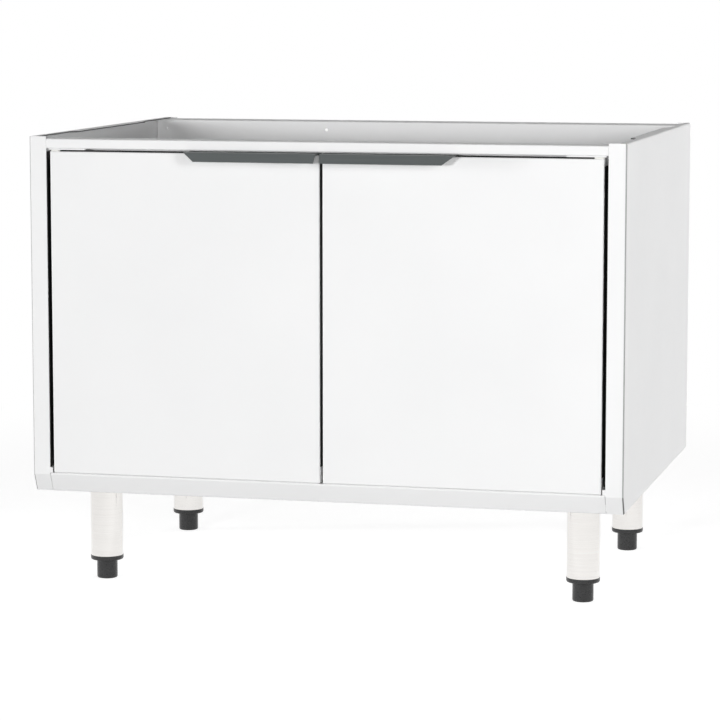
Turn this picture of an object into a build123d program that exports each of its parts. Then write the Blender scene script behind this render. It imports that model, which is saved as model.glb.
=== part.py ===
from build123d import *
import os

# A sink base cabinet in folded, powder-coated sheet steel: two doors on pivot hinges, no top,
# a recessed back for the pipes, and four stainless legs with levelling feet.
# Millimetres. X runs to the right seen from the front, Y to the rear, Z up from the floor.
# The origin is on the floor, under the middle of the cabinet's overall box.

# Driving dimensions
WIDTH = 800.0
DEPTH = 592.0             # carcass alone, without the pulls
CARCASS_HEIGHT = 477.0
LEG_HEIGHT = 134.0        # floor to the underside of the carcass
PULL_REACH = 26.0         # how far the pulls stand out in front of the doors
SHEET = 1.5               # carcass sheet
BEND = 2.0                # outer radius of the carcass folds

HALF = WIDTH / 2
FRONT = -(DEPTH - PULL_REACH) / 2
REAR = FRONT + DEPTH
BASE = LEG_HEIGHT
TOP = BASE + CARCASS_HEIGHT

# Front frame: stiles, rail and slanted lip
STILE = 23.4              # width of the stile's face
STILE_TOE = 3.8           # the stile is this much wider at its foot
STILE_TOE_TOP = BASE + 33.0
STILE_RETURN = 20.0       # depth of the fold behind the stile
LIP_HEIGHT = 23.4
LIP_SETBACK = 11.0        # how far back the lip's lower edge is
LIP_FOOT = 14.0           # flange under the lip
RAIL_DROP = 3.0           # the rail's top is this far below the side panels' top
RAIL_UNDERSIDE = BASE + 461.0
RAIL_DEPTH = 40.0
RAIL_REAR_LIP = 12.0
STOP_END = 323.0          # centre line to the end of the door stop flange
STOP_DROP = 15.0          # length of the door stop flange
JOINT_GAP = 0.3           # gap between two folded pieces that butt
LIP_GAP = 0.6             # gap between the lip's ends and the stiles

# Side panels
SIDE_FLANGE = 9.0         # top flange
SIDE_TAB = 17.5           # top flange at its wide middle tab
TAB_START = FRONT + 142.0
TAB_END = FRONT + 441.0
TAB_BEVEL = 8.0
REAR_RETURN = 19.0
FOOT_FLANGE = 20.0        # bottom flange

# Floor, back and leg channels
LEDGE_DEPTH = 23.0        # ledge under the doors
LEDGE_TOP = BASE + 25.6
FLOOR_BEND = 1.6
FLOOR_TOP = BASE + 45.0
FLANGE = 20.0
BACK_SETBACK = 47.0       # rear plane to the front face of the back
BACK_DROP = 1.5           # the back's top is this far below the side panels' top
BACK_FACE = REAR - BACK_SETBACK
PIPE_OPENING = (360.0, 200.0)
PIPE_OPENING_Z = BASE + 230.0
PIPE_OPENING_CORNER = 12.0
BACK_HOLES_X = (-380.4, -134.8, 380.4)
BACK_HOLE_DROP = 12.7
BACK_HOLE_R = 2.2
CHANNEL_SHEET = 2.0
CHANNEL_WEB = 37.0        # half width inside the channel
CHANNEL_BRIM = 55.0       # half width over the channel's brims
CHANNEL_DEPTH = 33.5

# Legs
LEG_X = 331.7
LEG_Y = {"front": FRONT + 101.0, "rear": FRONT + 477.4}
TUBE_R = 22.05
TUBE_WALL = 1.5
TUBE_END = LEG_HEIGHT - 101.8
COLLAR_END = LEG_HEIGHT - 108.2
COLLAR_PLUG = 22.0        # length of the collar inside the tube
COLLAR_R = 22.5           # ring between the tube and the foot
COLLAR_EDGE = 2.2
EDGE_BULGE = 0.3          # how far in a rounded edge's middle lies, as a share of its size
FOOT_R = 14.1
FOOT_EDGE = 2.0
STEM_R = 6.0
STEM_CLEARANCE = 0.25
STEM_CHAMFER = 1.0
STEM_LENGTH = 70.0
STEM_SEAT = 15.0          # length of the stem inside the foot
PLATE = 76.0
PLATE_THICKNESS = 4.0
PLATE_CORNER = 6.0
BOLT_SPACING = 56.0
BOLT_R = 3.0
BOLT_HEAD_R = 5.76        # over the hexagon's corners
BOLT_HEAD = 4.0
BOLT_GRIP = 12.0

# Doors
DOOR_SHEET = 1.0
DOOR_BEND = 1.6
DOOR_THICKNESS = 18.0
DOOR_OUTER = 371.1        # centre line to the hinge edge
DOOR_INNER = 2.0          # centre line to the meeting edge
DOOR_BOTTOM = BASE + 26.3
DOOR_TOP = BASE + 457.2
DOOR_FACE = FRONT
DOOR_WIDTH = DOOR_OUTER - DOOR_INNER
DOOR_HEIGHT = DOOR_TOP - DOOR_BOTTOM
DOOR_BACK = DOOR_FACE + DOOR_THICKNESS
DOOR_MIDDLE_X = (DOOR_OUTER + DOOR_INNER) / 2
DOOR_MIDDLE_Z = (DOOR_BOTTOM + DOOR_TOP) / 2
LINER_GAP = 0.2
LINER_FLANGE = 12.0
SEAL = 0.8
SEAL_MARGIN = 2.0         # seals stop this far from the door's faces
SEAL_CORNER = 0.3
TOP_SEAL = 1.5            # height of the strip on the door's top edge
TOP_SEAL_OUTER = 357.5
SEAL_FIN = 8.0            # how far the stile seal's fin reaches behind the door
SEAL_FIN_THICKNESS = 1.4
SEAL_FIN_GAP = 0.4
STILE_SEAL_START = 1.5    # behind the stile's face
SEAL_BOTTOM = BASE + 48.0
SEAL_TOP = BASE + 448.0

# Pivot hinges
PIVOT_IN = 9.0            # pivot axis to the door's hinge edge and to its front face
PIVOT_X = DOOR_OUTER - PIVOT_IN
PIVOT_Y = FRONT + PIVOT_IN
PIN_R = 3.0
PIN_CLEARANCE = 0.05
BUSH_R = 4.0
BUSH_FLANGE_R = 5.8
BOTTOM_BUSH_FLANGE = 0.6
TOP_BLOCK = (12.6, 15.0, 2.0)
TOP_BLOCK_X = 364.3
TOP_BLOCK_CORNER = 1.5
BUSH_LENGTH = 14.0
BRACKET_OUTER = 373.5
BRACKET_INNER = 322.0
BRACKET_FRONT = {"top": FRONT, "bottom": FRONT + 3.0}
BRACKET_REAR = FRONT + STILE_RETURN - BEND
BRACKET_THICKNESS = {"top": 1.6, "bottom": 1.9}
BRACKET_CORNER = 1.5
BRACKET_BOTTOM = {
    "top": RAIL_UNDERSIDE - BRACKET_THICKNESS["top"],
    "bottom": LEDGE_TOP - SHEET - BRACKET_THICKNESS["bottom"],
}
BRACKET_SCREWS_X = (332.0, 350.0)
BRACKET_SCREW_Y = FRONT + 12.0
PIN_REACH = 14.0          # from the rail or the ledge into the door
PIN_CHAMFER = 0.8

# Countersunk screws
SCREW_R = 1.5
SCREW_CLEARANCE = 0.1
HEAD_R = 2.8
HEAD_DEPTH = HEAD_R - SCREW_R

# Pulls
PULL_SHEET = 2.2
PULL_SHELF = 18.5         # how far the pull's shelf stands out
PULL_LIP = 11.8           # drop of the lip
PULL_BASE = 15.0          # the pull's hold on the door's top edge
PULL_TOP = DOOR_TOP + PULL_SHEET
PULL_BEND = PULL_SHEET + 0.6
PULL_ENDS_TOP = (2.7, 181.0)
PULL_ENDS_BOTTOM = (4.4, 165.5)
PULL_SCREWS_X = (30.0, 95.0, 160.0)
PULL_SCREW_Y = FRONT + 9.0

# Magnetic catches
CATCH_X = 55.0
CATCH_WIDTH = 40.0
CATCH_SCREW_SPACING = 26.0
CATCH_NOSE = FRONT + 19.2
CATCH_BOTTOM = BASE + 430.0
CATCH_NOSE_TOP = BASE + 444.5
CATCH_TOP = BASE + 460.0
CATCH_SCREW_Z = BASE + 453.5
CATCH_REAR = FRONT + 34.0
CATCH_CORNER = 2.0
STRIKE = (36.0, 12.0, 1.0)
STRIKE_CORNER = 2.0

os.makedirs("parts", exist_ok=True)

SIDES = (("left", -1), ("right", 1))


# Side panels: one blank folded on five edges, so it starts as a closed tray and is then trimmed
for hand, side in SIDES:
    with BuildPart() as side_panel:
        with BuildSketch(Plane.YZ.offset(side * HALF)):
            with BuildLine():
                Polyline(
                    (FRONT + LIP_SETBACK, BASE),
                    (REAR, BASE),
                    (REAR, TOP),
                    (FRONT, TOP),
                    (FRONT, BASE + LIP_HEIGHT),
                    close=True,
                )
            make_face()
        extrude(amount=-side * STILE)
        open_side = side_panel.faces().sort_by(Axis.X)[-1 if side < 0 else 0]
        offset(amount=-SHEET, openings=open_side, kind=Kind.INTERSECTION)
        wall = side_panel.faces().sort_by(Axis.X)[0 if side < 0 else -1]
        fillet(wall.edges(), radius=BEND)
        # Top flange, trimmed to its narrow width on both sides of the wide tab
        with BuildSketch(Plane.XY.offset(TOP)):
            with BuildLine():
                Polyline(
                    (side * (HALF - SIDE_FLANGE), FRONT + SHEET),
                    (side * (HALF - SIDE_FLANGE), TAB_START - TAB_BEVEL),
                    (side * (HALF - SIDE_TAB), TAB_START),
                    (side * (HALF - SIDE_TAB), TAB_END),
                    (side * (HALF - SIDE_FLANGE), TAB_END + TAB_BEVEL),
                    (side * (HALF - SIDE_FLANGE), REAR - SHEET),
                    (side * (HALF - STILE), REAR - SHEET),
                    (side * (HALF - STILE), FRONT + SHEET),
                    close=True,
                )
            make_face()
        extrude(amount=-BEND, mode=Mode.SUBTRACT)
        # Rear return and bottom flange, trimmed
        with BuildSketch(Plane.XZ.offset(-REAR)):
            with Locations((side * (HALF - REAR_RETURN), BASE)):
                Rectangle(STILE, CARCASS_HEIGHT, align=(Align.MAX if side > 0 else Align.MIN, Align.MIN))
        extrude(amount=BEND, mode=Mode.SUBTRACT)
        with BuildSketch(Plane.XY.offset(BASE)):
            with Locations((side * (HALF - FOOT_FLANGE), FRONT + LIP_SETBACK + LIP_FOOT)):
                Rectangle(STILE, DEPTH, align=(Align.MAX if side > 0 else Align.MIN, Align.MIN))
        extrude(amount=BEND, mode=Mode.SUBTRACT)
        # Inner return of the stile
        with BuildSketch(Plane.XY.offset(BASE + LIP_HEIGHT)):
            with Locations((side * (HALF - STILE), FRONT)):
                Rectangle(SHEET, STILE_RETURN, align=(Align.MIN if side > 0 else Align.MAX, Align.MIN))
        extrude(amount=CARCASS_HEIGHT - LIP_HEIGHT - RAIL_DROP)
        # The stile's wider toe, above the lip and beside the door
        with BuildSketch(Plane.XY.offset(LEDGE_TOP + JOINT_GAP)):
            with Locations((side * (HALF - STILE), FRONT)):
                Rectangle(STILE_TOE, SHEET, align=(Align.MAX if side > 0 else Align.MIN, Align.MIN))
        extrude(amount=STILE_TOE_TOP - LEDGE_TOP - JOINT_GAP)
    side_panel.part.label = f"{hand}_side_panel"
    export_step(side_panel.part, f"parts/{hand}_side_panel.step")


# Top front rail: one folded strip between the stiles
with BuildPart() as top_front_rail:
    with BuildSketch(Plane.YZ):
        with BuildLine():
            rail_line = FilletPolyline(
                (FRONT + RAIL_DEPTH, TOP - RAIL_DROP - RAIL_REAR_LIP),
                (FRONT + RAIL_DEPTH, TOP - RAIL_DROP),
                (FRONT, TOP - RAIL_DROP),
                (FRONT, RAIL_UNDERSIDE),
                (FRONT + STILE_RETURN, RAIL_UNDERSIDE),
                (FRONT + STILE_RETURN, RAIL_UNDERSIDE - STOP_DROP),
                radius=BEND,
            )
            offset(rail_line, amount=SHEET, side=Side.LEFT)
        make_face()
    extrude(amount=HALF - STILE - JOINT_GAP, both=True)
    # The stop flange ends short of the hinges, where the doors' corners swing past it
    with BuildSketch(Plane.XZ.offset(-FRONT - STILE_RETURN + BEND)):
        with Locations((-HALF, RAIL_UNDERSIDE), (HALF, RAIL_UNDERSIDE)):
            Rectangle(2 * (HALF - STOP_END), 2 * STOP_DROP, align=(Align.CENTER, Align.MAX))
    extrude(amount=-2 * BEND, mode=Mode.SUBTRACT)
    # Screw holes for the pivot brackets and the catches
    with BuildSketch(Plane.XY.offset(RAIL_UNDERSIDE)):
        with Locations(*[(side * x, BRACKET_SCREW_Y) for side in (-1, 1) for x in BRACKET_SCREWS_X]):
            Circle(SCREW_R + SCREW_CLEARANCE)
    extrude(amount=SHEET, mode=Mode.SUBTRACT)
    with BuildSketch(Plane.XZ.offset(-FRONT - STILE_RETURN)):
        for side in (-1, 1):
            with Locations((side * CATCH_X, CATCH_SCREW_Z)):
                with GridLocations(CATCH_SCREW_SPACING, 0, 2, 1):
                    Circle(SCREW_R + SCREW_CLEARANCE)
    extrude(amount=-2 * SHEET, mode=Mode.SUBTRACT)
top_front_rail.part.label = "top_front_rail"
export_step(top_front_rail.part, "parts/top_front_rail.step")


# Floor: one folded sheet whose front steps down to the ledge under the doors and ends in the lip
with BuildPart() as bottom_panel:
    with BuildSketch(Plane.YZ):
        with BuildLine():
            floor_line = FilletPolyline(
                (FRONT + LIP_SETBACK + LIP_FOOT, BASE),
                (FRONT + LIP_SETBACK, BASE),
                (FRONT, BASE + LIP_HEIGHT),
                (FRONT, LEDGE_TOP),
                (FRONT + LEDGE_DEPTH, LEDGE_TOP),
                (FRONT + LEDGE_DEPTH, FLOOR_TOP),
                (BACK_FACE - JOINT_GAP, FLOOR_TOP),
                (BACK_FACE - JOINT_GAP, FLOOR_TOP - FLANGE),
                radius=FLOOR_BEND,
            )
            offset(floor_line, amount=SHEET, side=Side.RIGHT)
        make_face()
    extrude(amount=HALF - SHEET - JOINT_GAP, both=True)
    # Notches for the stiles and, lower down, for the side panels' bottom flanges
    with BuildSketch(Plane.XY.offset(BASE)):
        with Locations((-HALF, FRONT), (HALF, FRONT)):
            Rectangle(2 * (STILE + LIP_GAP), 2 * (STILE_RETURN + JOINT_GAP))
    extrude(amount=2 * LIP_HEIGHT, mode=Mode.SUBTRACT)
    with BuildSketch(Plane.XY.offset(BASE)):
        with Locations((-HALF, FRONT), (HALF, FRONT)):
            Rectangle(2 * (STILE + LIP_GAP), 2 * (LIP_SETBACK + LIP_FOOT + BEND))
    extrude(amount=LIP_HEIGHT / 2, mode=Mode.SUBTRACT)
    # Side flanges, folded down
    with BuildSketch(Plane.XY.offset(FLOOR_TOP - SHEET)):
        for side in (-1, 1):
            with Locations((side * (HALF - SHEET - JOINT_GAP), FRONT + LEDGE_DEPTH + BEND)):
                Rectangle(
                    SHEET,
                    DEPTH - LEDGE_DEPTH - BACK_SETBACK - 3 * BEND,
                    align=(Align.MAX if side > 0 else Align.MIN, Align.MIN),
                )
    extrude(amount=-FLANGE + SHEET)
    # Holes for the lower pivot brackets' screws and pins
    with BuildSketch(Plane.XY.offset(LEDGE_TOP)):
        with Locations(*[(side * x, BRACKET_SCREW_Y) for side in (-1, 1) for x in BRACKET_SCREWS_X]):
            Circle(SCREW_R + SCREW_CLEARANCE)
        with Locations(*[(side * PIVOT_X, PIVOT_Y) for side in (-1, 1)]):
            Circle(PIN_R + SCREW_CLEARANCE)
    extrude(amount=-2 * SHEET, mode=Mode.SUBTRACT)
bottom_panel.part.label = "bottom_panel"
export_step(bottom_panel.part, "parts/bottom_panel.step")


# Back: a tray open to the rear, set in from the rear plane so that pipes pass behind it
with BuildPart() as back_panel:
    with BuildSketch(Plane.XZ.offset(-BACK_FACE)):
        with Locations((0, (BASE + TOP) / 2)):
            Rectangle(WIDTH - 2 * (SHEET + JOINT_GAP), CARCASS_HEIGHT - 2 * BACK_DROP)
    extrude(amount=-(BACK_SETBACK - SHEET - JOINT_GAP))
    offset(amount=-SHEET, openings=back_panel.faces().sort_by(Axis.Y)[-1], kind=Kind.INTERSECTION)
    fillet(back_panel.faces().sort_by(Axis.Y)[0].edges(), radius=BEND)
    with BuildSketch(Plane.XZ.offset(-BACK_FACE)):
        with Locations((0, PIPE_OPENING_Z)):
            RectangleRounded(*PIPE_OPENING, radius=PIPE_OPENING_CORNER)
        with Locations(*[(x, TOP - BACK_DROP - BACK_HOLE_DROP) for x in BACK_HOLES_X]):
            Circle(BACK_HOLE_R)
    extrude(amount=-2 * SHEET, mode=Mode.SUBTRACT)
back_panel.part.label = "back_panel"
export_step(back_panel.part, "parts/back_panel.step")


# Leg channels: a hat section under each side of the floor, welded on by its two brims
for hand, side in SIDES:
    with BuildPart() as leg_channel:
        with BuildSketch(Plane.XZ.offset(-FRONT - LEDGE_DEPTH - 2 * BEND)):
            with BuildLine():
                brim_z = FLOOR_TOP - SHEET
                hat_line = FilletPolyline(
                    (side * LEG_X - CHANNEL_BRIM, brim_z),
                    (side * LEG_X - CHANNEL_WEB, brim_z),
                    (side * LEG_X - CHANNEL_WEB, brim_z - CHANNEL_DEPTH),
                    (side * LEG_X + CHANNEL_WEB, brim_z - CHANNEL_DEPTH),
                    (side * LEG_X + CHANNEL_WEB, brim_z),
                    (side * LEG_X + CHANNEL_BRIM, brim_z),
                    radius=BEND,
                )
                offset(hat_line, amount=CHANNEL_SHEET, side=Side.RIGHT)
            make_face()
        extrude(amount=-(DEPTH - LEDGE_DEPTH - BACK_SETBACK - 5 * BEND))
        web_z = brim_z - CHANNEL_DEPTH - CHANNEL_SHEET
        with BuildSketch(Plane.XY.offset(web_z)):
            for leg_y in LEG_Y.values():
                with Locations((side * LEG_X, leg_y)):
                    with GridLocations(BOLT_SPACING, BOLT_SPACING, 2, 2):
                        Circle(BOLT_R + SCREW_CLEARANCE)
        extrude(amount=CHANNEL_SHEET, mode=Mode.SUBTRACT)
    leg_channel.part.label = f"{hand}_leg_channel"
    export_step(leg_channel.part, f"parts/{hand}_leg_channel.step")


# Legs: a plate bolted under the channel, a tube welded to it, and a threaded collar in the tube
PLATE_TOP = web_z
PLATE_BOTTOM = PLATE_TOP - PLATE_THICKNESS
for row, leg_y in LEG_Y.items():
    for hand, side in SIDES:
        corner = f"{row}_{hand}"
        with BuildPart() as leg_plate:
            with BuildSketch(Plane.XY.offset(PLATE_BOTTOM)):
                with Locations((side * LEG_X, leg_y)):
                    RectangleRounded(PLATE, PLATE, radius=PLATE_CORNER)
                    with GridLocations(BOLT_SPACING, BOLT_SPACING, 2, 2):
                        Circle(BOLT_R + SCREW_CLEARANCE, mode=Mode.SUBTRACT)
            extrude(amount=PLATE_THICKNESS)
        leg_plate.part.label = f"{corner}_leg_plate"
        export_step(leg_plate.part, f"parts/{corner}_leg_plate.step")

        with BuildPart() as leg_tube:
            with BuildSketch(Plane.XY.offset(TUBE_END)):
                with Locations((side * LEG_X, leg_y)):
                    Circle(TUBE_R)
                    Circle(TUBE_R - TUBE_WALL, mode=Mode.SUBTRACT)
            extrude(amount=PLATE_BOTTOM - TUBE_END)
        leg_tube.part.label = f"{corner}_leg_tube"
        export_step(leg_tube.part, f"parts/{corner}_leg_tube.step")

        with BuildPart() as leg_collar:
            with BuildSketch(Plane((side * LEG_X, leg_y, 0), x_dir=(1, 0, 0), z_dir=(0, -1, 0))):
                with BuildLine():
                    Polyline(
                        (STEM_R + STEM_CLEARANCE, COLLAR_END),
                        (COLLAR_R - COLLAR_EDGE, COLLAR_END),
                        (COLLAR_R - EDGE_BULGE * COLLAR_EDGE, COLLAR_END + EDGE_BULGE * COLLAR_EDGE),
                        (COLLAR_R, COLLAR_END + COLLAR_EDGE),
                        (COLLAR_R, TUBE_END),
                        (TUBE_R - TUBE_WALL, TUBE_END),
                        (TUBE_R - TUBE_WALL, TUBE_END + COLLAR_PLUG),
                        (STEM_R + STEM_CLEARANCE, TUBE_END + COLLAR_PLUG),
                        close=True,
                    )
                make_face()
            revolve(axis=Axis((side * LEG_X, leg_y, 0), (0, 0, 1)))
        leg_collar.part.label = f"{corner}_leg_collar"
        export_step(leg_collar.part, f"parts/{corner}_leg_collar.step")

        with BuildPart() as foot:
            with BuildSketch(Plane((side * LEG_X, leg_y, 0), x_dir=(1, 0, 0), z_dir=(0, -1, 0))):
                with BuildLine():
                    Polyline(
                        (0, 0),
                        (FOOT_R - FOOT_EDGE, 0),
                        (FOOT_R - EDGE_BULGE * FOOT_EDGE, EDGE_BULGE * FOOT_EDGE),
                        (FOOT_R, FOOT_EDGE),
                        (FOOT_R, COLLAR_END),
                        (STEM_R, COLLAR_END),
                        (STEM_R, COLLAR_END - STEM_SEAT),
                        (0, COLLAR_END - STEM_SEAT),
                        close=True,
                    )
                make_face()
            revolve(axis=Axis((side * LEG_X, leg_y, 0), (0, 0, 1)))
        foot.part.label = f"{corner}_foot"
        export_step(foot.part, f"parts/{corner}_foot.step")

        with BuildPart() as foot_stem:
            with BuildSketch(Plane.XY.offset(COLLAR_END - STEM_SEAT)):
                with Locations((side * LEG_X, leg_y)):
                    Circle(STEM_R)
            extrude(amount=STEM_LENGTH)
            chamfer(foot_stem.edges().group_by(Axis.Z)[-1], length=STEM_CHAMFER)
        foot_stem.part.label = f"{corner}_foot_stem"
        export_step(foot_stem.part, f"parts/{corner}_foot_stem.step")


# Leg bolts: four hexagon bolts up through each plate and the channel's web
with BuildPart() as leg_plate_bolts:
    for side in (-1, 1):
        for leg_y in LEG_Y.values():
            with BuildSketch(Plane.XY.offset(PLATE_BOTTOM)):
                with Locations((side * LEG_X, leg_y)):
                    with GridLocations(BOLT_SPACING, BOLT_SPACING, 2, 2):
                        RegularPolygon(radius=BOLT_HEAD_R, side_count=6)
            extrude(amount=-BOLT_HEAD)
            with BuildSketch(Plane.XY.offset(PLATE_BOTTOM)):
                with Locations((side * LEG_X, leg_y)):
                    with GridLocations(BOLT_SPACING, BOLT_SPACING, 2, 2):
                        Circle(BOLT_R)
            extrude(amount=BOLT_GRIP)
leg_plate_bolts.part.label = "leg_plate_bolts"
export_step(leg_plate_bolts.part, "parts/leg_plate_bolts.step")


# Pivot brackets: short plates under the rail and under the ledge, each with a pin riveted into it
for hand, side in SIDES:
    for level, through, pin_way in (("top", 0, -1), ("bottom", SHEET, 1)):
        bracket_z = BRACKET_BOTTOM[level]
        thickness = BRACKET_THICKNESS[level]
        with BuildPart() as pivot_bracket:
            with BuildSketch(Plane.XY.offset(bracket_z)):
                with Locations((side * (BRACKET_OUTER + BRACKET_INNER) / 2, BRACKET_FRONT[level])):
                    Rectangle(
                        BRACKET_OUTER - BRACKET_INNER,
                        BRACKET_REAR - BRACKET_FRONT[level],
                        align=(Align.CENTER, Align.MIN),
                    )
                with Locations((side * PIVOT_X, PIVOT_Y)):
                    Circle(PIN_R, mode=Mode.SUBTRACT)
            extrude(amount=thickness)
            chamfer(pivot_bracket.edges().filter_by(Axis.Z), length=BRACKET_CORNER)
            for screw_x in BRACKET_SCREWS_X:
                with Locations(Plane((side * screw_x, BRACKET_SCREW_Y, bracket_z), z_dir=(0, 0, -1))):
                    CounterSinkHole(
                        SCREW_R + SCREW_CLEARANCE, HEAD_R + SCREW_CLEARANCE, counter_sink_angle=90
                    )
        pivot_bracket.part.label = f"{hand}_{level}_pivot_bracket"
        export_step(pivot_bracket.part, f"parts/{hand}_{level}_pivot_bracket.step")

        with BuildPart() as hinge_pin:
            with BuildSketch(Plane.XY.offset(bracket_z + (thickness if pin_way < 0 else 0))):
                with Locations((side * PIVOT_X, PIVOT_Y)):
                    Circle(PIN_R)
            extrude(amount=pin_way * (thickness + through + PIN_REACH))
            chamfer(hinge_pin.edges().group_by(Axis.Z)[0 if pin_way < 0 else -1], length=PIN_CHAMFER)
        hinge_pin.part.label = f"{hand}_{level}_hinge_pin"
        export_step(hinge_pin.part, f"parts/{hand}_{level}_hinge_pin.step")


# Bracket screws: countersunk up into each bracket, and through the rail or the ledge
with BuildPart() as pivot_bracket_screws:
    for side in (-1, 1):
        for level, bracket_z in BRACKET_BOTTOM.items():
            screw_length = BRACKET_THICKNESS[level] + SHEET
            for screw_x in BRACKET_SCREWS_X:
                with BuildSketch(
                    Plane((side * screw_x, BRACKET_SCREW_Y, bracket_z), x_dir=(1, 0, 0), z_dir=(0, -1, 0))
                ):
                    with BuildLine():
                        Polyline(
                            (0, 0),
                            (HEAD_R, 0),
                            (SCREW_R, HEAD_DEPTH),
                            (SCREW_R, screw_length),
                            (0, screw_length),
                            close=True,
                        )
                    make_face()
                revolve(axis=Axis((side * screw_x, BRACKET_SCREW_Y, 0), (0, 0, 1)))
pivot_bracket_screws.part.label = "pivot_bracket_screws"
export_step(pivot_bracket_screws.part, "parts/pivot_bracket_screws.step")


# Stile seals: black strips on the stiles' inner returns, with a fin behind the door's edge
for hand, side in SIDES:
    with BuildPart() as stile_seal:
        with BuildSketch(Plane.XY.offset(SEAL_BOTTOM)):
            with BuildLine():
                seal_x = HALF - STILE
                fin_y = FRONT + STILE_RETURN + SEAL_FIN_GAP
                Polyline(
                    (side * seal_x, FRONT + STILE_SEAL_START),
                    (side * (seal_x - SEAL), FRONT + STILE_SEAL_START),
                    (side * (seal_x - SEAL), fin_y),
                    (side * (seal_x - SEAL_FIN), fin_y),
                    (side * (seal_x - SEAL_FIN), fin_y + SEAL_FIN_THICKNESS),
                    (side * (seal_x + SHEET), fin_y + SEAL_FIN_THICKNESS),
                    (side * (seal_x + SHEET), FRONT + STILE_RETURN),
                    (side * seal_x, FRONT + STILE_RETURN),
                    close=True,
                )
            make_face()
        extrude(amount=SEAL_TOP - SEAL_BOTTOM)
    stile_seal.part.label = f"{hand}_stile_seal"
    export_step(stile_seal.part, f"parts/{hand}_stile_seal.step")


# Magnetic catches: a plastic case behind the stop flange, with its nose below the flange's edge
for hand, side in SIDES:
    with BuildPart() as magnetic_catch:
        with BuildSketch(Plane.YZ.offset(side * CATCH_X)):
            with BuildLine():
                Polyline(
                    (CATCH_NOSE, CATCH_BOTTOM),
                    (CATCH_NOSE, CATCH_NOSE_TOP),
                    (FRONT + STILE_RETURN + SHEET, CATCH_NOSE_TOP),
                    (FRONT + STILE_RETURN + SHEET, CATCH_TOP),
                    (CATCH_REAR, CATCH_TOP),
                    (CATCH_REAR, CATCH_BOTTOM),
                    close=True,
                )
            make_face()
        extrude(amount=CATCH_WIDTH / 2, both=True)
        chamfer(magnetic_catch.edges().filter_by(Axis.Z).group_by(Axis.Y)[-1], length=CATCH_CORNER)
        with BuildSketch(Plane.XZ.offset(-CATCH_REAR)):
            with Locations((side * CATCH_X, CATCH_SCREW_Z)):
                with GridLocations(CATCH_SCREW_SPACING, 0, 2, 1):
                    Circle(SCREW_R + SCREW_CLEARANCE)
        extrude(amount=2 * (CATCH_REAR - CATCH_NOSE), mode=Mode.SUBTRACT)
    magnetic_catch.part.label = f"{hand}_magnetic_catch"
    export_step(magnetic_catch.part, f"parts/{hand}_magnetic_catch.step")


# Catch screws: pan heads behind the cases, shanks through the stop flange
with BuildPart() as catch_screws:
    for side in (-1, 1):
        with BuildSketch(Plane.XZ.offset(-CATCH_REAR)):
            with Locations((side * CATCH_X, CATCH_SCREW_Z)):
                with GridLocations(CATCH_SCREW_SPACING, 0, 2, 1):
                    Circle(HEAD_R)
        extrude(amount=-HEAD_DEPTH)
        with BuildSketch(Plane.XZ.offset(-CATCH_REAR)):
            with Locations((side * CATCH_X, CATCH_SCREW_Z)):
                with GridLocations(CATCH_SCREW_SPACING, 0, 2, 1):
                    Circle(SCREW_R)
        extrude(amount=CATCH_REAR - FRONT - STILE_RETURN - SCREW_CLEARANCE)
catch_screws.part.label = "catch_screws"
export_step(catch_screws.part, "parts/catch_screws.step")


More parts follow.
